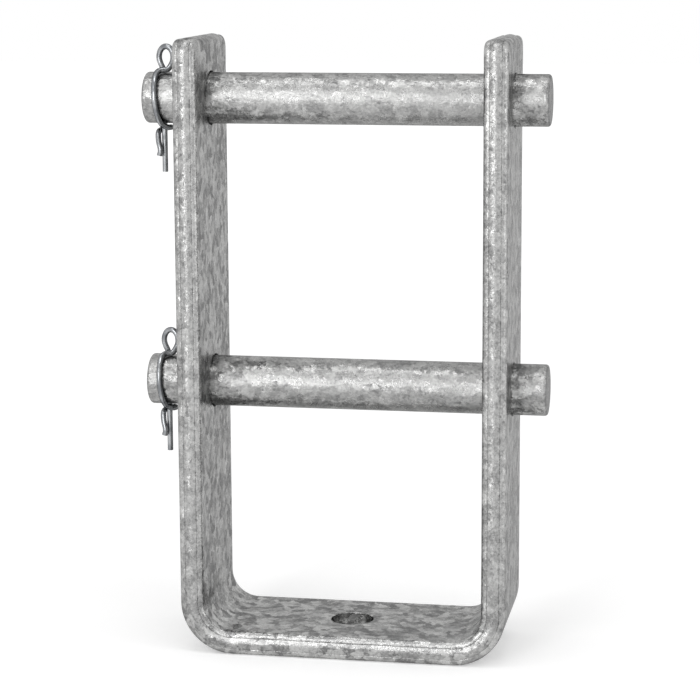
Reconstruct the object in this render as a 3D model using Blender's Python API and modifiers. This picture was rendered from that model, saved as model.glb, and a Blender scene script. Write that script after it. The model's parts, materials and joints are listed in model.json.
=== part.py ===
"""Ladder stabilizer: a bent flat-bar bracket, two cross pins and a locking spring-wire clip on each pin.

World frame: metres, +Z up, the bar's legs stand along Z, the pins run along X, the bar's width is along Y.
"""

import bpy
import bmesh
import math
from mathutils import Matrix, Vector

# Bracket: one flat bar bent into a U
BAR_THICKNESS = 0.009
BAR_WIDTH = 0.050
CLEAR_WIDTH = 0.104
BRACKET_HEIGHT = 0.229
INNER_BEND_RADIUS = 0.0105
BAR_EDGE_RADIUS = 0.0022
LEG_CORNER_RADIUS = 0.005
BOLT_HOLE_DIAMETER = 0.016

# Cross pins
PIN_DIAMETER = 0.019
PIN_HOLE_CLEARANCE = 0.0004
LOWER_PIN_HEIGHT = 0.0997
UPPER_PIN_BELOW_TOP = 0.0229
CLIP_END_OVERHANG = 0.0156
PLAIN_END_OVERHANG = 0.0128
PIN_CHAMFER = 0.0009
CLIP_HOLE_FROM_END = 0.0064

# Locking clips
WIRE_DIAMETER = 0.0021
CLIP_CLEARANCE = 0.0003
CLIP_LEG_BELOW_PIN = 0.0182
CLIP_TAIL_LENGTH = 0.0085
EYE_WIDTH = 0.0072
EYE_HEIGHT = 0.0078

# Roundness of the faceted forms
BEND_STEPS = 14
CORNER_STEPS = 5
EDGE_STEPS = 3
PIN_SIDES = 48
BOLT_HOLE_SIDES = 40
CLIP_HOLE_SIDES = 16
WIRE_SMOOTHING = 4

# Derived places
BEND_CENTRE_RADIUS = INNER_BEND_RADIUS + BAR_THICKNESS / 2
LEG_CENTRE = (CLEAR_WIDTH + BAR_THICKNESS) / 2
OUTER_HALF_WIDTH = CLEAR_WIDTH / 2 + BAR_THICKNESS
BRACKET_X = (CLIP_END_OVERHANG - PLAIN_END_OVERHANG) / 2
PIN_START = BRACKET_X - OUTER_HALF_WIDTH - CLIP_END_OVERHANG
PIN_END = BRACKET_X + OUTER_HALF_WIDTH + PLAIN_END_OVERHANG
CLIP_X = PIN_START + CLIP_HOLE_FROM_END
PIN_HOLE_DIAMETER = PIN_DIAMETER + 2 * PIN_HOLE_CLEARANCE
CLIP_HOLE_DIAMETER = WIRE_DIAMETER + 2 * CLIP_CLEARANCE
PIN_HEIGHTS = {"lower": LOWER_PIN_HEIGHT, "upper": BRACKET_HEIGHT - UPPER_PIN_BELOW_TOP}

# Centre line of the wire where it lies on the pin, and where two strands lie side by side
WRAP_RADIUS = (PIN_DIAMETER + WIRE_DIAMETER) / 2 + CLIP_CLEARANCE
STRAND_SPACING = WIRE_DIAMETER + CLIP_CLEARANCE


def clear_scene():
    for item in list(bpy.data.objects):
        bpy.data.objects.remove(item, do_unlink=True)


def new_collection(name):
    collection = bpy.data.collections.new(name)
    bpy.context.scene.collection.children.link(collection)
    return collection


def metal(name, colour, roughness):
    material = bpy.data.materials.new(name)
    material.use_nodes = True
    shader = material.node_tree.nodes["Principled BSDF"]
    shader.inputs["Base Color"].default_value = (*colour, 1)
    shader.inputs["Metallic"].default_value = 1
    shader.inputs["Roughness"].default_value = roughness
    return material


def add_object(name, mesh, collection, location=(0, 0, 0), material=None):
    item = bpy.data.objects.new(name, mesh)
    item.location = location
    collection.objects.link(item)
    if material:
        mesh.materials.append(material)
    return item


def cylinder_mesh(name, diameter, length, sides, axis):
    """A closed cylinder centred on its own origin, along X, or along Z."""
    turn = Matrix.Rotation(math.pi / 2, 4, "Y") if axis == "X" else Matrix.Identity(4)
    shape = bmesh.new()
    bmesh.ops.create_cone(
        shape, cap_ends=True, segments=sides, radius1=diameter / 2, radius2=diameter / 2, depth=length, matrix=turn
    )
    mesh = bpy.data.meshes.new(name)
    shape.to_mesh(mesh)
    shape.free()
    return mesh


def add_cutter(name, diameter, length, sides, axis, location, cutters):
    cutter = add_object(name, cylinder_mesh(name, diameter, length, sides, axis), cutters, location)
    cutter.hide_render = True
    cutter.display_type = "WIRE"
    return cutter


def cut(item, cutter):
    boolean = item.modifiers.new("cut " + cutter.name, "BOOLEAN")
    boolean.operation = "DIFFERENCE"
    boolean.solver = "EXACT"
    boolean.object = cutter


def poly_curve(name, points, dimensions="3D"):
    curve = bpy.data.curves.new(name, "CURVE")
    curve.dimensions = dimensions
    spline = curve.splines.new("POLY")
    spline.points.add(len(points) - 1)
    for spot, point in zip(spline.points, points):
        spot.co = (*point, 1)
    return curve


def mesh_from_curve(curve):
    source = bpy.data.objects.new(curve.name, curve)
    mesh = bpy.data.meshes.new_from_object(source)
    bpy.data.objects.remove(source)
    shape = bmesh.new()
    shape.from_mesh(mesh)
    bmesh.ops.remove_doubles(shape, verts=shape.verts, dist=0.00001)
    bmesh.ops.recalc_face_normals(shape, faces=shape.faces)
    shape.to_mesh(mesh)
    shape.free()
    return mesh


# Bracket


def bar_centre_line():
    """The bent bar's middle from one leg top, round both bends, to the other, as (across, up) points."""
    bend_x = LEG_CENTRE - BEND_CENTRE_RADIUS
    bend_z = BAR_THICKNESS / 2 + BEND_CENTRE_RADIUS
    left = [(-LEG_CENTRE, BRACKET_HEIGHT)]
    for step in range(BEND_STEPS + 1):
        angle = math.pi / 2 * step / BEND_STEPS
        left.append((-bend_x - BEND_CENTRE_RADIUS * math.cos(angle), bend_z - BEND_CENTRE_RADIUS * math.sin(angle)))
    return left + [(-across, up) for across, up in reversed(left)]


def bar_ribbon():
    """A strip of the bar's width along its centre line, with the leg tops' corners rounded."""
    curve = poly_curve("bar", [(across, up, 0) for across, up in bar_centre_line()], "2D")
    curve.fill_mode = "NONE"
    curve.extrude = BAR_WIDTH / 2
    mesh = mesh_from_curve(curve)
    mesh.transform(Matrix.Rotation(math.pi / 2, 4, "X"))
    shape = bmesh.new()
    shape.from_mesh(mesh)
    corners = [vert for vert in shape.verts if vert.co.z > BRACKET_HEIGHT - LEG_CORNER_RADIUS / 2]
    radius = min(LEG_CORNER_RADIUS, 0.49 * BAR_WIDTH)
    bmesh.ops.bevel(
        shape, geom=corners, offset=radius, offset_type="OFFSET", segments=CORNER_STEPS, profile=0.5, affect="VERTICES"
    )
    shape.to_mesh(mesh)
    shape.free()
    return mesh


def make_bracket(collection, cutters, material):
    bracket = add_object("bracket", bar_ribbon(), collection, (BRACKET_X, 0, 0), material)
    plate = bracket.modifiers.new("bar thickness", "SOLIDIFY")
    plate.thickness = BAR_THICKNESS
    plate.offset = 0
    plate.use_even_offset = True
    rounding = bracket.modifiers.new("rolled edges", "BEVEL")
    rounding.width = min(BAR_EDGE_RADIUS, 0.45 * BAR_THICKNESS)
    rounding.segments = EDGE_STEPS
    rounding.limit_method = "ANGLE"
    rounding.angle_limit = math.radians(50)
    through = 4 * BAR_THICKNESS
    bolt = (BRACKET_X, 0, BAR_THICKNESS / 2)
    cut(bracket, add_cutter("bolt_hole", BOLT_HOLE_DIAMETER, through, BOLT_HOLE_SIDES, "Z", bolt, cutters))
    for side, reach in (("left", -LEG_CENTRE), ("right", LEG_CENTRE)):
        for level, height in PIN_HEIGHTS.items():
            place = (BRACKET_X + reach, 0, height)
            name = f"{level}_{side}_pin_hole"
            cut(bracket, add_cutter(name, PIN_HOLE_DIAMETER, through, PIN_SIDES, "X", place, cutters))
    return bracket


# Cross pins


def make_pin(level, height, collection, cutters, material):
    mesh = cylinder_mesh(level + "_pin", PIN_DIAMETER, PIN_END - PIN_START, PIN_SIDES, "X")
    mesh.transform(Matrix.Translation(((PIN_START + PIN_END) / 2, 0, 0)))
    pin = add_object(level + "_pin", mesh, collection, (0, 0, height), material)
    chamfer = pin.modifiers.new("end chamfer", "BEVEL")
    chamfer.width = PIN_CHAMFER
    chamfer.segments = 1
    chamfer.limit_method = "ANGLE"
    chamfer.angle_limit = math.radians(50)
    place = (CLIP_X, 0, height)
    name = level + "_clip_hole"
    cut(pin, add_cutter(name, CLIP_HOLE_DIAMETER, 2 * PIN_DIAMETER, CLIP_HOLE_SIDES, "Z", place, cutters))
    return pin


# Locking clips, about their own origin where the clip hole crosses the pin's axis


def on_pin(across, degrees):
    """A point of wire lying on the pin: offset along it in wire diameters, angle from its top to the front."""
    angle = math.radians(degrees)
    return Vector((across * WIRE_DIAMETER, -WRAP_RADIUS * math.sin(angle), WRAP_RADIUS * math.cos(angle)))


def round_leg(degrees, below):
    """A point of wire beside the straight leg: angle seen from above, wire diameters below the wrap."""
    angle = math.radians(degrees)
    drop = WRAP_RADIUS + below * WIRE_DIAMETER
    return Vector((STRAND_SPACING * math.cos(angle), STRAND_SPACING * math.sin(angle), -drop))


def clip_eye():
    """The finger eye above the pin: an oval open at its foot, leaning a little to the front on its far side."""
    start = PIN_DIAMETER / 2 + WIRE_DIAMETER / 2
    centre_z = start + EYE_HEIGHT / 2 + WIRE_DIAMETER / 4
    points = []
    for degrees in range(215, -36, -25):
        angle = math.radians(degrees)
        across = EYE_WIDTH / 2 * (math.cos(angle) + 0.46)
        lean = -0.16 * (across + EYE_WIDTH / 2 * 0.6)
        points.append(Vector((across, lean, centre_z + EYE_HEIGHT / 2 * math.sin(angle))))
    return points


def clip_keys():
    """The wire's route from the straight leg's tip to the end of its flared tail."""
    tip = PIN_DIAMETER / 2 + CLIP_LEG_BELOW_PIN
    straight = [Vector((0, 0, -tip + step * (tip + PIN_DIAMETER / 2) / 5)) for step in range(6)]
    wrap = [
        on_pin(1.1, 13),
        on_pin(0.35, 17),
        on_pin(-0.35, 23),
        on_pin(-0.62, 38),
        on_pin(-0.55, 64),
        on_pin(-0.38, 92),
        on_pin(-0.15, 120),
        on_pin(0.05, 146),
        on_pin(0.4, 163),
    ]
    hook = [round_leg(-45, 0.05), round_leg(5, 0.1), round_leg(55, 0.2), round_leg(100, 0.35), round_leg(140, 0.65)]
    tail_length = CLIP_TAIL_LENGTH / WIRE_DIAMETER
    tail = [
        round_leg(176, 1.05),
        round_leg(198, 1.05 + 0.35 * tail_length),
        round_leg(220, 1.05 + 0.7 * tail_length),
        round_leg(218, 1.05 + tail_length) - Vector((0.4 * WIRE_DIAMETER, 0, 0)),
    ]
    return straight + clip_eye() + wrap + hook + tail


def smooth_route(keys, steps):
    """Points of a Catmull-Rom curve through the keys."""
    ends = [2 * keys[0] - keys[1]] + keys + [2 * keys[-1] - keys[-2]]
    points = []
    for before, start, end, after in zip(ends, ends[1:], ends[2:], ends[3:]):
        for step in range(steps):
            t = step / steps
            points.append(
                start
                + 0.5 * t * (end - before)
                + t * t * (before - 2.5 * start + 2 * end - 0.5 * after)
                + t * t * t * (1.5 * (start - end) + 0.5 * (after - before))
            )
    return points + [keys[-1]]


def make_clip(level, height, collection, material):
    curve = poly_curve(level + "_clip", smooth_route(clip_keys(), WIRE_SMOOTHING))
    curve.bevel_depth = WIRE_DIAMETER / 2
    curve.bevel_resolution = 2
    curve.use_fill_caps = True
    return add_object(level + "_clip", mesh_from_curve(curve), collection, (CLIP_X, 0, height), material)


def main():
    clear_scene()
    collection = new_collection("ladder_stabilizer")
    cutters = new_collection("cutters")
    make_bracket(collection, cutters, metal("bracket_galvanised_steel", (0.46, 0.47, 0.47), 0.45))
    for level, height in PIN_HEIGHTS.items():
        steel = metal(level + "_pin_galvanised_steel", (0.5, 0.51, 0.51), 0.4)
        make_pin(level, height, collection, cutters, steel)
        make_clip(level, height, collection, metal(level + "_clip_spring_wire", (0.7, 0.7, 0.7), 0.12))


main()
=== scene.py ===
"""Looks of a ladder stabilizer: a bent galvanised bar, two galvanised pins and their wire clips.

World frame: metres, +Z up. The bar's legs stand along Z, its width is along Y and the pins run
along X.
"""

import json
import math

import bmesh
import bpy
from mathutils import Matrix, Vector


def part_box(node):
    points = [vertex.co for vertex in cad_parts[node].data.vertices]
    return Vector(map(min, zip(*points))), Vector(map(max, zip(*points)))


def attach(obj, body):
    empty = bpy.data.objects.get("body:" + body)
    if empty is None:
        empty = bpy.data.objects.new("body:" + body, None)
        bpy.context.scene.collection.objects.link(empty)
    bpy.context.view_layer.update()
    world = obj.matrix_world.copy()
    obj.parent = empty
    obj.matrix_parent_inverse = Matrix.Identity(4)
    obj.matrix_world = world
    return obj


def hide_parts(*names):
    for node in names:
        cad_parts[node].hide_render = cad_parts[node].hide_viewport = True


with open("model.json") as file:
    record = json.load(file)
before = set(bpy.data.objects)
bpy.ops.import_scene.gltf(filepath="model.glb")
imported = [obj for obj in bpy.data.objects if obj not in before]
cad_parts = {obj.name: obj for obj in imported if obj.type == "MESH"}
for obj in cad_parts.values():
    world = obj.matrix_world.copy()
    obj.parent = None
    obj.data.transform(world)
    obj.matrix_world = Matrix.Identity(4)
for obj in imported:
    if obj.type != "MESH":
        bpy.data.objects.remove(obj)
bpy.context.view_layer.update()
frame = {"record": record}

MM = 0.001
SAME_PLACE = 0.01 * MM  # points that are closer than this are one
SQUARE_TO = 0.999  # the least that a normal has along an axis if its face is square to it
LEVEL_WITH = 0.01  # the most that a normal has along an axis if its face is level with it
MOUNTS = {mount["name"]: Vector(mount["pos_m"]) for mount in frame["record"]["mounts"]}

# Bracket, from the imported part; the legs and the bends' centres are measured from its middle
BAR_LOW, BAR_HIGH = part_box("bracket")
BAR_THICKNESS = MOUNTS["base_seat"].z
BAR_MIDDLE_X = (BAR_LOW.x + BAR_HIGH.x) / 2
LEG_CENTRE = (BAR_HIGH.x - BAR_LOW.x - BAR_THICKNESS) / 2
INNER_BEND_RADIUS = 10.5 * MM
BEND_RADIUS = INNER_BEND_RADIUS + BAR_THICKNESS / 2
BEND_X = LEG_CENTRE - BEND_RADIUS
BEND_Z = BAR_THICKNESS / 2 + BEND_RADIUS
BEND_STEPS = 28
BAR_RUN = "bar_run"  # the attribute that holds where each point lay on the straight bar
LEG_CORNER_RADIUS = 5 * MM
LEG_CORNER_STEPS = 8

# The bar's narrow faces, as rolled: each step goes so far in and so far out
EDGE_ROUNDING = 2.1 * MM
EDGE_ROUNDING_STEPS = 6
EDGE_STEPS = (
    (0.24 * MM, -0.17 * MM),  # down into a fine groove
    (0.24 * MM, 0.17 * MM),  # up out of it
    (0.9 * MM, 0.28 * MM),  # up a bead
    (0.7 * MM, 0.12 * MM),  # up to a flat crown
)
EDGE_CROWN = sum(out for _, out in EDGE_STEPS)

# Holes in the bar
DRILL_DEPTH = 4 * BAR_THICKNESS
BOLT_HOLE_RADIUS = 8 * MM
BOLT_HOLE_SIDES = 80
PIN_HOLE_CLEARANCE = 0.4 * MM
HOLE_ROUNDING = 0.5 * MM
HOLE_ROUNDING_STEPS = 3
RIM_TOLERANCE = 0.05 * MM

# Cross pins
PIN_CHAMFER = 1.1 * MM
PIN_CHAMFER_STEPS = 4
PIN_SIDES = 96

# Locking clips
WIRE_DIAMETER = 2.1 * MM
WIRE_STEPS = 9
CLIP_CLEARANCE = 0.3 * MM
CLIP_HOLE_FROM_END = 6.4 * MM
CLIP_HOLE_SIDES = 24
CLIP_LEG_BELOW_PIN = 18.2 * MM
CLIP_TAIL_LENGTH = 8.5 * MM
EYE_WIDTH = 5.6 * MM
EYE_HEIGHT = 7.8 * MM
EYE_ABOVE_PIN = 0.75 * WIRE_DIAMETER
EYE_ASIDE = 0.42  # how far the eye's middle stands beside the straight leg, in half widths
EYE_LEAN = 0.16  # the slope at which the eye turns to the front
EYE_LEAN_FROM = -0.6  # where it starts to turn, in half widths
EYE_TURN = range(215, -36, -25)  # degrees, from the straight leg over the top to the curved leg
WRAP = (  # wire diameters along the pin, and degrees round it from its top
    (1.1, 13),
    (0.35, 17),
    (-0.35, 23),
    (-0.62, 38),
    (-0.55, 64),
    (-0.38, 92),
    (-0.15, 120),
    (0.05, 146),
    (0.4, 163),
)
HOOK = (  # degrees round the straight leg, and wire diameters below the pin
    (-45, 0.05),
    (5, 0.1),
    (55, 0.2),
    (100, 0.35),
    (140, 0.65),
)
FLARE_START = 1.05  # wire diameters below the pin
FLARE = (  # degrees round the straight leg, and shares of the tail's length
    (180, 0),
    (208, 0.35),
    (240, 0.75),
    (243, 1),
)
FLARE_KICK = 0.25 * WIRE_DIAMETER  # outwards, at the tail's end

# Zinc: its crystals, and how far the large ones' greys swing from the middle one
CRYSTALS = ((2.8, 0.13), (1.0, 0.15))  # mm across, and how far a crystal's face leans
CRYSTAL_LENGTH = 1.15  # along the bar, in widths
BOLD_ON_WIDE_FACES = 0.44
BOLD_ON_BASE_EDGES = 0.34
BOLD_ON_LEG_EDGES = 0.16
BOLD_ON_ROUND_BARS = 0.2


# Modelling as by hand


def deselect_all():
    if bpy.context.object and bpy.context.object.mode != "OBJECT":
        bpy.ops.object.mode_set(mode="OBJECT")
    bpy.ops.object.select_all(action="DESELECT")


def pick(item):
    deselect_all()
    item.select_set(True)
    bpy.context.view_layer.objects.active = item


def finish_new(name):
    """Names what was just added and puts its place into its mesh."""
    item = bpy.context.object
    item.name = item.data.name = name
    bpy.ops.object.transform_apply(location=True, rotation=True, scale=True)
    return item


def select_in_edit(item, kind, test):
    """In edit mode, selects the vertices, edges or faces whose place and normal pass a test.

    An edge is tested at its two ends and its middle, and a face at its middle.
    """
    bpy.ops.mesh.select_mode(type=kind)
    bpy.ops.mesh.select_all(action="DESELECT")
    shape = bmesh.from_edit_mesh(item.data)
    shape.normal_update()
    parts = {"VERT": shape.verts, "EDGE": shape.edges, "FACE": shape.faces}[kind]
    for part in parts:
        if kind == "VERT":
            found = test(part.co, part.normal)
        elif kind == "EDGE":
            start, end = part.verts
            places = (start.co, (start.co + end.co) / 2, end.co)
            found = all(test(place, start.normal) for place in places)
        else:
            found = test(part.calc_center_median(), part.normal)
        part.select_set(bool(found))
    shape.select_flush_mode()
    bmesh.update_edit_mesh(item.data)


def apply_modifier(item, kind, **settings):
    pick(item)
    made = item.modifiers.new(kind.title(), kind)
    for name, value in settings.items():
        setattr(made, name, value)
    bpy.ops.object.modifier_apply(modifier=made.name)


def drill(item, radius, depth, sides, location, rotation=(0, 0, 0)):
    """Cuts a round hole through the item."""
    deselect_all()
    bpy.ops.mesh.primitive_cylinder_add(
        vertices=sides, radius=radius, depth=depth, location=location, rotation=rotation
    )
    cutter = finish_new("drill")
    apply_modifier(item, "BOOLEAN", object=cutter, solver="EXACT", operation="DIFFERENCE")
    bpy.data.objects.remove(cutter, do_unlink=True)


def smooth(item, degrees):
    """Shades the item smooth, but for the edges that turn by more than some degrees."""
    pick(item)
    bpy.ops.object.shade_smooth_by_angle(angle=math.radians(degrees), keep_sharp_edges=True)


# Bracket


def bent_strip():
    """The bar's middle surface: a leg made from a plane, a bend, the base, a bend and a leg."""
    width = BAR_HIGH.y - BAR_LOW.y - 2 * EDGE_CROWN
    top = BAR_HIGH.z - EDGE_CROWN
    deselect_all()
    bpy.ops.mesh.primitive_plane_add(
        size=1,
        location=(BAR_MIDDLE_X - LEG_CENTRE, 0, (top + BEND_Z) / 2),
        rotation=(0, math.pi / 2, 0),
    )
    bpy.ops.transform.resize(value=(1, width, top - BEND_Z))
    strip = finish_new("bracket_galvanised")
    bpy.ops.object.mode_set(mode="EDIT")
    select_in_edit(strip, "VERT", lambda place, _: place.z < BEND_Z + MM)
    for side, onwards in ((-1, (2 * BEND_X, 0, 0)), (1, (0, 0, top - BEND_Z))):
        bpy.ops.mesh.spin(
            steps=BEND_STEPS,
            angle=math.pi / 2,
            center=(BAR_MIDDLE_X + side * BEND_X, 0, BEND_Z),
            axis=(0, 1, 0),
        )
        bpy.ops.mesh.extrude_region_move(TRANSFORM_OT_translate={"value": onwards})
    bpy.ops.mesh.select_all(action="SELECT")
    bpy.ops.mesh.remove_doubles(threshold=SAME_PLACE)
    bpy.ops.mesh.normals_make_consistent(inside=False)
    select_in_edit(strip, "VERT", lambda place, _: place.z > top - MM)
    bpy.ops.mesh.bevel(offset=LEG_CORNER_RADIUS, affect="VERTICES", segments=LEG_CORNER_STEPS)
    bpy.ops.object.mode_set(mode="OBJECT")
    return strip


def on_narrow_face(place, normal):
    """On the bar's front or back edge, or over a leg's top and its rounded corners."""
    over_the_top = place.z > BAR_HIGH.z - LEG_CORNER_RADIUS - MM and abs(normal.x) < LEVEL_WITH
    return abs(normal.y) > SQUARE_TO or over_the_top


def pin_holes():
    """The height and the radius of the legs' holes, for the upper pin and the lower pin."""
    boxes = [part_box(pin) for pin in ("upper_pin", "lower_pin")]
    clearance = PIN_HOLE_CLEARANCE
    return [((low.z + high.z) / 2, (high.y - low.y) / 2 + clearance) for low, high in boxes]


def round_rims(bracket):
    """Takes the sharpness off both rims of every hole."""
    half = BAR_THICKNESS / 2
    holes = pin_holes()

    def near(value, other):
        return abs(value - other) < RIM_TOLERANCE

    def at_rim(place, _):
        across = place.x - BAR_MIDDLE_X
        in_base = place.z < BAR_THICKNESS + MM
        if in_base and near(math.hypot(across, place.y), BOLT_HOLE_RADIUS):
            return near(abs(place.z - half), half)
        if not near(abs(abs(across) - LEG_CENTRE), half):
            return False
        return any(near(math.hypot(place.y, place.z - height), radius) for height, radius in holes)

    pick(bracket)
    bpy.ops.object.mode_set(mode="EDIT")
    select_in_edit(bracket, "EDGE", at_rim)
    bpy.ops.mesh.bevel(offset=HOLE_ROUNDING, segments=HOLE_ROUNDING_STEPS, affect="EDGES")
    bpy.ops.object.mode_set(mode="OBJECT")


def run_of(place):
    """A point of the bar as it lay before bending: along the bar, across it and through it."""
    across, side = abs(place.x - BAR_MIDDLE_X), math.copysign(1, place.x - BAR_MIDDLE_X)
    quarter = BEND_RADIUS * math.pi / 2
    if place.z > BEND_Z:
        return side * (BEND_X + quarter + place.z - BEND_Z), place.y, across - LEG_CENTRE
    if across < BEND_X:
        return side * across, place.y, BAR_THICKNESS / 2 - place.z
    angle = math.atan2(across - BEND_X, BEND_Z - place.z)
    radius = math.hypot(across - BEND_X, BEND_Z - place.z)
    return side * (BEND_X + BEND_RADIUS * angle), place.y, radius - BEND_RADIUS


def store_run(bracket):
    """Keeps each point's place on the straight bar, so that the zinc follows the bends."""
    run = bracket.data.attributes.new(BAR_RUN, "FLOAT_VECTOR", "POINT")
    for vert, value in zip(bracket.data.vertices, run.data):
        value.vector = run_of(vert.co)


def make_bracket():
    """The bent bar: thickened, with rounded edges, rolled narrow faces and five drilled holes."""
    bracket = bent_strip()
    apply_modifier(bracket, "SOLIDIFY", thickness=BAR_THICKNESS, offset=0, use_even_offset=True)
    apply_modifier(
        bracket,
        "BEVEL",
        width=EDGE_ROUNDING,
        segments=EDGE_ROUNDING_STEPS,
        limit_method="ANGLE",
        angle_limit=math.radians(40),
    )
    pick(bracket)
    bpy.ops.object.mode_set(mode="EDIT")
    select_in_edit(bracket, "FACE", on_narrow_face)
    for inwards, out in EDGE_STEPS:
        bpy.ops.mesh.inset(thickness=inwards, depth=out, use_boundary=True, use_even_offset=True)
    bpy.ops.object.mode_set(mode="OBJECT")
    base_middle = (BAR_MIDDLE_X, 0, BAR_THICKNESS / 2)
    drill(bracket, BOLT_HOLE_RADIUS, DRILL_DEPTH, BOLT_HOLE_SIDES, base_middle)
    for height, radius in pin_holes():
        for side in (-1, 1):
            place = (BAR_MIDDLE_X + side * LEG_CENTRE, 0, height)
            drill(bracket, radius, DRILL_DEPTH, PIN_SIDES, place, (0, math.pi / 2, 0))
    round_rims(bracket)
    store_run(bracket)
    smooth(bracket, 35)
    apply_modifier(bracket, "WEIGHTED_NORMAL", keep_sharp=True)
    return bracket


# Cross pins


def make_pin(node):
    """A chamfered round bar with the clip's cross hole near its left end."""
    low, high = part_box(node)
    middle = (low + high) / 2
    deselect_all()
    bpy.ops.mesh.primitive_cylinder_add(
        vertices=PIN_SIDES,
        radius=(high.z - low.z) / 2,
        depth=high.x - low.x,
        location=middle,
        rotation=(0, math.pi / 2, 0),
    )
    pin = finish_new(node + "_galvanised")
    bpy.ops.object.mode_set(mode="EDIT")
    at_ends = (high.x - low.x) / 2 - SAME_PLACE
    select_in_edit(pin, "EDGE", lambda place, _: abs(place.x - middle.x) > at_ends)
    bpy.ops.mesh.bevel(offset=PIN_CHAMFER, segments=PIN_CHAMFER_STEPS, affect="EDGES")
    bpy.ops.object.mode_set(mode="OBJECT")
    radius = WIRE_DIAMETER / 2 + CLIP_CLEARANCE
    place = (low.x + CLIP_HOLE_FROM_END, 0, middle.z)
    drill(pin, radius, 2 * (high.z - low.z), CLIP_HOLE_SIDES, place)
    smooth(pin, 30)
    apply_modifier(pin, "WEIGHTED_NORMAL", keep_sharp=True)
    return pin


# Locking clips


def clip_keys(pin_radius):
    """The wire's route, about the point where the clip's hole crosses the pin's axis.

    It goes from the straight leg's tip, round the eye and over the pin, through the hook below
    the pin, to the end of the flared tail.
    """
    wrap_radius = pin_radius + WIRE_DIAMETER / 2 + CLIP_CLEARANCE
    spacing = WIRE_DIAMETER + CLIP_CLEARANCE

    def on_pin(along, degrees):
        angle = math.radians(degrees)
        forward, up = -wrap_radius * math.sin(angle), wrap_radius * math.cos(angle)
        return Vector((along * WIRE_DIAMETER, forward, up))

    def round_leg(degrees, below):
        angle = math.radians(degrees)
        drop = wrap_radius + below * WIRE_DIAMETER
        return Vector((spacing * math.cos(angle), spacing * math.sin(angle), -drop))

    tip = pin_radius + CLIP_LEG_BELOW_PIN
    straight = [Vector((0, 0, -tip + step * (tip + pin_radius) / 5)) for step in range(6)]
    eye_z = pin_radius + EYE_ABOVE_PIN + EYE_HEIGHT / 2
    eye = []
    for degrees in EYE_TURN:
        angle = math.radians(degrees)
        aside = EYE_WIDTH / 2 * (math.cos(angle) + EYE_ASIDE)
        forward = -EYE_LEAN * (aside - EYE_WIDTH / 2 * EYE_LEAN_FROM)
        eye.append(Vector((aside, forward, eye_z + EYE_HEIGHT / 2 * math.sin(angle))))
    wrap = [on_pin(along, degrees) for along, degrees in WRAP]
    hook = [round_leg(degrees, below) for degrees, below in HOOK]
    tail = CLIP_TAIL_LENGTH / WIRE_DIAMETER
    flare = [round_leg(degrees, FLARE_START + share * tail) for degrees, share in FLARE]
    flare[-1] -= Vector((FLARE_KICK, 0, 0))
    return straight + eye + wrap + hook + flare


def smooth_route(keys, steps):
    """Points of a Catmull-Rom curve through the keys."""
    ends = [2 * keys[0] - keys[1]] + keys + [2 * keys[-1] - keys[-2]]
    points = []
    for before, start, end, after in zip(ends, ends[1:], ends[2:], ends[3:]):
        for step in range(steps):
            t = step / steps
            points.append(
                start
                + 0.5 * t * (end - before)
                + t * t * (before - 2.5 * start + 2 * end - 0.5 * after)
                + t * t * t * (1.5 * (start - end) + 0.5 * (after - before))
            )
    return points + [keys[-1]]


def make_clip(node, pin_node):
    """One round wire, swept along the route through and round its pin."""
    low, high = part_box(pin_node)
    origin = Vector((low.x + CLIP_HOLE_FROM_END, 0, (low.z + high.z) / 2))
    points = smooth_route(clip_keys((high.z - low.z) / 2), WIRE_STEPS)
    wire = bpy.data.curves.new(node + "_wire", "CURVE")
    wire.dimensions = "3D"
    spline = wire.splines.new("POLY")
    spline.points.add(len(points) - 1)
    for spot, point in zip(spline.points, points):
        spot.co = (*(origin + point), 1)
    wire.bevel_depth = WIRE_DIAMETER / 2
    wire.bevel_resolution = 5
    wire.use_fill_caps = True
    clip = bpy.data.objects.new(node + "_wire", wire)
    bpy.context.scene.collection.objects.link(clip)
    pick(clip)
    bpy.ops.object.convert(target="MESH")
    clip = bpy.context.object
    bpy.ops.object.mode_set(mode="EDIT")
    bpy.ops.mesh.select_all(action="SELECT")
    bpy.ops.mesh.remove_doubles(threshold=SAME_PLACE)
    bpy.ops.mesh.normals_make_consistent(inside=False)
    bpy.ops.object.mode_set(mode="OBJECT")
    smooth(clip, 40)
    return clip


# Materials


def linear(code):
    """A colour written as sRGB hex, as the linear values that a shader takes."""
    values = [int(code[start : start + 2], 16) / 255 for start in (1, 3, 5)]
    return (*(v / 12.92 if v <= 0.04045 else ((v + 0.055) / 1.055) ** 2.4 for v in values), 1)


def add_node(tree, kind, links=None, stops=(), **settings):
    """Adds a node with its settings.

    links gives each input socket a value or another node's output, and stops gives a colour
    ramp's places and colours.
    """
    made = tree.nodes.new("ShaderNode" + kind)
    for name, value in settings.items():
        setattr(made, name, value)
    for socket, value in (links or {}).items():
        if isinstance(value, bpy.types.NodeSocket):
            tree.links.new(value, made.inputs[socket])
        else:
            made.inputs[socket].default_value = value
    for index, (place, colour) in enumerate(stops):
        made.color_ramp.elements[index].position = place
        made.color_ramp.elements[index].color = linear(colour)
    return made


def new_material(name):
    made = bpy.data.materials.new(name)
    made.use_nodes = True
    return made, made.node_tree, made.node_tree.nodes["Principled BSDF"]


def off_middle(tree, colour, share, start):
    """Moves a vector by a share of how far a random colour is from middle grey."""
    away = {0: colour, 1: (0.5, 0.5, 0.5)}
    away = add_node(tree, "VectorMath", away, operation="SUBTRACT").outputs[0]
    moved = {0: away, 1: (share, share, share), 2: start}
    return add_node(tree, "VectorMath", moved, operation="MULTIPLY_ADD").outputs[0]


def warp(tree, place, size, push):
    """Moves a pattern's points about by up to half of push, in swirls of a size."""
    swirls = {"Vector": place, "Scale": 1 / size, "Detail": 4, "Roughness": 0.65}
    return off_middle(tree, add_node(tree, "TexNoise", swirls).outputs["Color"], push, place)


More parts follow.
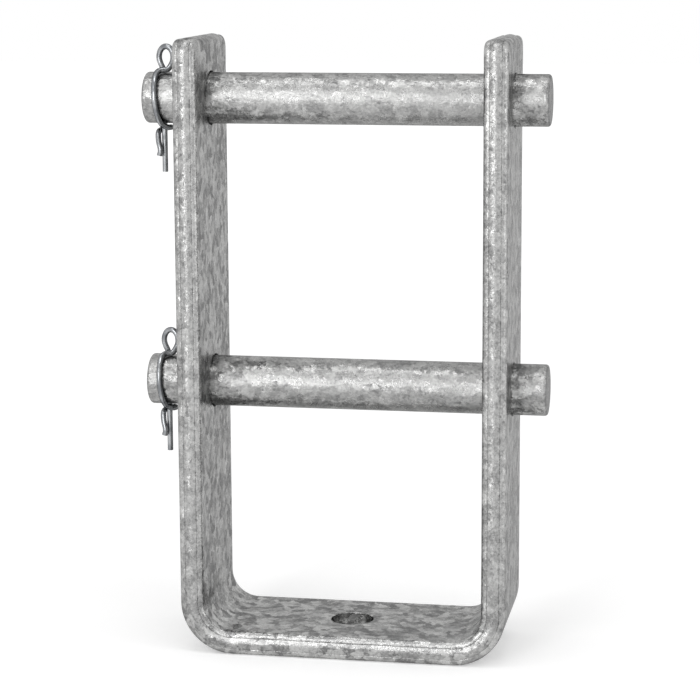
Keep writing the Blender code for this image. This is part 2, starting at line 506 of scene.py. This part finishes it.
def tone_mix(tree, patterns):
    """Sums patterns about a middle grey.

    Each one takes its share off at its low value and adds it at its high value.
    """
    total = 0.5
    for pattern, low, high, share in patterns:
        swing = {"Value": pattern, "From Min": low, "From Max": high, "To Min": -1.0, "To Max": 1.0}
        swing = add_node(tree, "MapRange", swing).outputs["Result"]
        added = {0: swing, 1: share, 2: total}
        total = add_node(tree, "Math", added, operation="MULTIPLY_ADD").outputs[0]
    return total


def bar_boldness(tree, in_mm):
    """How far the flat bar's crystals swing: most on its wide faces, least on its legs' edges."""
    away = add_node(tree, "VectorMath", {0: in_mm}, operation="ABSOLUTE").outputs[0]
    away = add_node(tree, "SeparateXYZ", {"Vector": away}).outputs
    base = BEND_X / MM
    on_edges = {
        "Value": away["X"],
        "From Min": base,
        "From Max": base + 20,  # round the bend
        "To Min": BOLD_ON_BASE_EDGES,
        "To Max": BOLD_ON_LEG_EDGES,
    }
    half_width = BAR_HIGH.y / MM
    to_edges = {
        "Value": away["Y"],
        "From Min": half_width - 3,  # where the rounding starts
        "From Max": half_width - 0.8,  # low on the crown
        "To Min": BOLD_ON_WIDE_FACES,
        "To Max": add_node(tree, "MapRange", on_edges).outputs["Result"],
    }
    return add_node(tree, "MapRange", to_edges).outputs["Result"]


def painted_shade_on_ends(tree):
    """1 on a round bar's sawn ends and their chamfers, which get painted shade, and 0 round it."""
    normal = add_node(tree, "TexCoord").outputs["Normal"]
    facing = add_node(tree, "VectorMath", {0: normal}, operation="ABSOLUTE").outputs[0]
    along = add_node(tree, "SeparateXYZ", {"Vector": facing}).outputs["X"]
    ends = {"Value": along, "From Min": 0.3, "From Max": 0.7}
    return add_node(tree, "MapRange", ends).outputs["Result"]


def galvanised_steel(name, dark, light, roughness, run=None):
    """Hot-dip galvanised steel: feathered zinc crystals in greys, each facing its own way.

    They are bold on the flat bar's wide faces, and faint on its rolled edges and on the round
    bars, under a frosting. The frosting is really about 0.2 mm fine; it is drawn at 0.8 mm, so
    that it shows. run names the attribute that a bent bar's crystals follow.
    """
    made, tree, shader = new_material(name)
    if run:
        place = add_node(tree, "Attribute", attribute_name=run).outputs["Vector"]
    else:
        place = add_node(tree, "TexCoord").outputs["Object"]
    lengthwise = {"Vector": place, "Scale": (1 / MM / CRYSTAL_LENGTH, 1 / MM, 1 / MM)}
    in_mm = add_node(tree, "Mapping", lengthwise).outputs["Vector"]

    swirled = warp(tree, in_mm, size=5, push=3.6)
    feathered = warp(tree, swirled, size=0.9, push=2.0)
    normal = add_node(tree, "NewGeometry").outputs["Normal"]
    crystals = []
    for size, lean in CRYSTALS:
        cells = add_node(tree, "TexVoronoi", {"Vector": feathered, "Scale": 1 / size})
        normal = off_middle(tree, cells.outputs["Color"], lean, normal)
        crystals.append(add_node(tree, "SeparateColor", {"Color": cells.outputs["Color"]}).outputs)
    normal = add_node(tree, "VectorMath", {0: normal}, operation="NORMALIZE").outputs[0]
    large, small = crystals

    cloud = {"Vector": in_mm, "Scale": 1 / 12, "Detail": 3, "Roughness": 0.6}
    frost = {"Vector": in_mm, "Scale": 1 / 0.8, "Detail": 3, "Roughness": 0.75}
    frost = add_node(tree, "TexNoise", frost).outputs["Fac"]
    tones = [
        (large[0], 0.0, 1.0, bar_boldness(tree, in_mm) if run else BOLD_ON_ROUND_BARS),
        (small[0], 0.0, 1.0, 0.18),
        (add_node(tree, "TexNoise", cloud).outputs["Fac"], 0.3, 0.7, 0.06),
        (frost, 0.35, 0.65, 0.16),
    ]
    # painted shade: the round bars' sawn ends and chamfers are coloured darker
    if not run:
        tones.append((painted_shade_on_ends(tree), 1.0, -1.0, 0.3))
    greys = ((0.08, dark), (0.92, light))
    colour = add_node(tree, "ValToRGB", {"Fac": tone_mix(tree, tones)}, greys)
    tree.links.new(colour.outputs["Color"], shader.inputs["Base Color"])
    shader.inputs["Metallic"].default_value = 1
    shader.inputs["Specular Tint"].default_value = (0.55, 0.55, 0.55, 1)

    both = add_node(tree, "Math", {0: large[1], 1: small[1]}, operation="ADD").outputs[0]
    dulling = {"To Min": roughness - 0.1, "To Max": roughness + 0.12}
    rough = add_node(tree, "MapRange", {"Value": both, "From Max": 2.0, **dulling})
    tree.links.new(rough.outputs["Result"], shader.inputs["Roughness"])

    drawn_out = add_node(tree, "Mapping", {"Vector": in_mm, "Scale": (0.3, 1, 1)})
    waves = {"Vector": drawn_out.outputs["Vector"], "Scale": 1 / 4, "Detail": 3, "Roughness": 0.55}
    waves = add_node(tree, "TexNoise", waves).outputs["Fac"]
    for height, depth in ((waves, 0.35 * MM), (frost, 0.12 * MM)):
        raised = {"Height": height, "Distance": depth, "Normal": normal}
        normal = add_node(tree, "Bump", raised).outputs["Normal"]
    tree.links.new(normal, shader.inputs["Normal"])
    return made


def spring_wire():
    """Bright zinc-plated spring wire: near-mirror plating with faint marks from the drawing die.

    The marks are really under 0.1 mm apart; they are drawn at 0.3 mm, so that they show.
    """
    made, tree, shader = new_material("bright zinc-plated spring wire")
    place = add_node(tree, "TexCoord").outputs["Object"]
    in_mm = add_node(tree, "Mapping", {"Vector": place, "Scale": (1 / MM, 1 / MM, 1 / MM)})
    in_mm = in_mm.outputs["Vector"]
    wear = {"Vector": in_mm, "Scale": 1 / 5, "Detail": 3, "Roughness": 0.6}
    wear = add_node(tree, "TexNoise", wear).outputs["Fac"]
    greys = ((0.36, "#7C7E81"), (0.64, "#B0B2B4"))
    colour = add_node(tree, "ValToRGB", {"Fac": wear}, greys)
    tree.links.new(colour.outputs["Color"], shader.inputs["Base Color"])
    shader.inputs["Metallic"].default_value = 1
    shader.inputs["Specular Tint"].default_value = (0, 0, 0, 1)
    rough = add_node(tree, "MapRange", {"Value": wear, "To Min": 0.1, "To Max": 0.2})
    tree.links.new(rough.outputs["Result"], shader.inputs["Roughness"])
    marks = add_node(tree, "TexNoise", {"Vector": in_mm, "Scale": 1 / 0.3, "Detail": 2})
    raised = {"Height": marks.outputs["Fac"], "Distance": 0.01 * MM}
    tree.links.new(add_node(tree, "Bump", raised).outputs["Normal"], shader.inputs["Normal"])
    return made


def dress(piece, material, body, node):
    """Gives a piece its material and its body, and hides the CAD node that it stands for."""
    piece.data.materials.clear()
    piece.data.materials.append(material)
    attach(piece, body)
    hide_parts(node)


# Studio


def background_rays(tree):
    """1 for what the camera sees directly or in metal or glass, and 0 for light on things."""
    rays = add_node(tree, "LightPath").outputs
    seen = rays["Is Camera Ray"]
    for kind in ("Is Glossy Ray", "Is Transmission Ray"):
        seen = add_node(tree, "Math", {0: seen, 1: rays[kind]}, operation="MAXIMUM").outputs[0]
    return seen


def make_floor():
    """A white sweep: it keeps the object's shadow and meets the white background.

    What the camera and metal see of it is lifted to white, a little more further off.
    """
    deselect_all()
    bpy.ops.mesh.primitive_plane_add(size=8)
    floor = finish_new("floor")
    made, tree, shader = new_material("white floor")
    shader.inputs["Base Color"].default_value = linear("#EDEDED")
    shader.inputs["Roughness"].default_value = 0.9
    shader.inputs["Specular IOR Level"].default_value = 0
    place = add_node(tree, "TexCoord").outputs["Object"]
    away = add_node(tree, "VectorMath", {0: place}, operation="LENGTH").outputs["Value"]
    lift = {"Value": away, "From Min": 0.2, "From Max": 1.4, "To Min": 0.3, "To Max": 0.5}
    lift = add_node(tree, "MapRange", lift).outputs["Result"]
    lift = add_node(tree, "Math", {0: background_rays(tree), 1: lift}, operation="MULTIPLY")
    shader.inputs["Emission Color"].default_value = (1, 1, 1, 1)
    tree.links.new(lift.outputs[0], shader.inputs["Emission Strength"])
    floor.data.materials.append(made)


def make_world(light_level):
    """White behind the object and in its reflections; a plain level of light elsewhere."""
    world = bpy.data.worlds.new("studio")
    bpy.context.scene.world = world
    world.use_nodes = True
    tree = world.node_tree
    back = tree.nodes["Background"]
    back.inputs["Color"].default_value = (1, 1, 1, 1)
    level = {"Value": background_rays(tree), "To Min": light_level, "To Max": 1.0}
    level = add_node(tree, "MapRange", level).outputs["Result"]
    tree.links.new(level, back.inputs["Strength"])


def direction(azimuth, elevation):
    """From the object outwards, in degrees: azimuth 0 is the front, 90 the pins' plain ends."""
    a, e = math.radians(azimuth), math.radians(elevation)
    return Vector((math.sin(a) * math.cos(e), -math.cos(a) * math.cos(e), math.sin(e)))


LAMPS_AIM = Vector((0, 0, 110 * MM))


def softbox(name, azimuth, elevation, distance, size, brightness):
    """A rectangular lamp that faces the object.

    Its face shows as brightness times white in a mirror.
    """
    lamp = bpy.data.lights.new(name, "AREA")
    lamp.shape = "RECTANGLE"
    lamp.size, lamp.size_y = size
    lamp.energy = brightness * math.pi * size[0] * size[1]
    item = bpy.data.objects.new(name, lamp)
    bpy.context.scene.collection.objects.link(item)
    away = direction(azimuth, elevation)
    item.location = LAMPS_AIM + distance * away
    item.rotation_euler = (-away).to_track_quat("-Z", "Y").to_euler()


def make_camera(azimuth, elevation, roll, distance, target, focal_share, shift_y):
    """Looks at the target from a direction; focal_share is focal length by frame width."""
    back = direction(azimuth, elevation)
    camera = bpy.data.cameras.new("camera")
    camera.sensor_width = 36
    camera.lens = focal_share * camera.sensor_width
    camera.shift_y = shift_y
    camera.clip_start, camera.clip_end = 0.01, 50
    item = bpy.data.objects.new("camera", camera)
    bpy.context.scene.collection.objects.link(item)
    turn = (-back).to_track_quat("-Z", "Y").to_matrix()
    turn = turn @ Matrix.Rotation(math.radians(roll), 3, "Z")
    item.matrix_world = Matrix.Translation(Vector(target) + distance * back) @ turn.to_4x4()
    bpy.context.scene.camera = item


def make_studio():
    bpy.context.scene.view_settings.view_transform = "Standard"
    make_camera(
        azimuth=10.48,
        elevation=9.44,
        roll=-0.27,
        distance=0.838,
        target=(BAR_MIDDLE_X - 0.1 * MM, -1.4 * MM, 126.1 * MM),
        focal_share=3.224,
        shift_y=-0.05,
    )
    make_world(light_level=0.7)
    make_floor()
    softbox("key", -22, 40, distance=1.7, size=(0.6, 0.35), brightness=2.1)
    softbox("front strip", -17, 14, distance=1.8, size=(0.5, 0.9), brightness=5.0)
    softbox("right strip", 70, 16, distance=1.3, size=(0.4, 1.0), brightness=1.7)
    softbox("top", -5, 76, distance=1.5, size=(0.9, 0.3), brightness=3.6)


def make_object():
    bar = galvanised_steel(
        "hot-dip galvanised flat bar", "#767676", "#C1C1C0", roughness=0.27, run=BAR_RUN
    )
    rod = galvanised_steel("hot-dip galvanised round bar", "#7A7A7A", "#B9B9B8", roughness=0.3)
    wire = spring_wire()
    dress(make_bracket(), bar, "bracket_body", "bracket")
    for level in ("upper", "lower"):
        pin, clip = level + "_pin", level + "_clip"
        dress(make_pin(pin), rod, pin + "_body", pin)
        dress(make_clip(clip, pin), wire, clip + "_body", clip)


make_studio()
make_object()
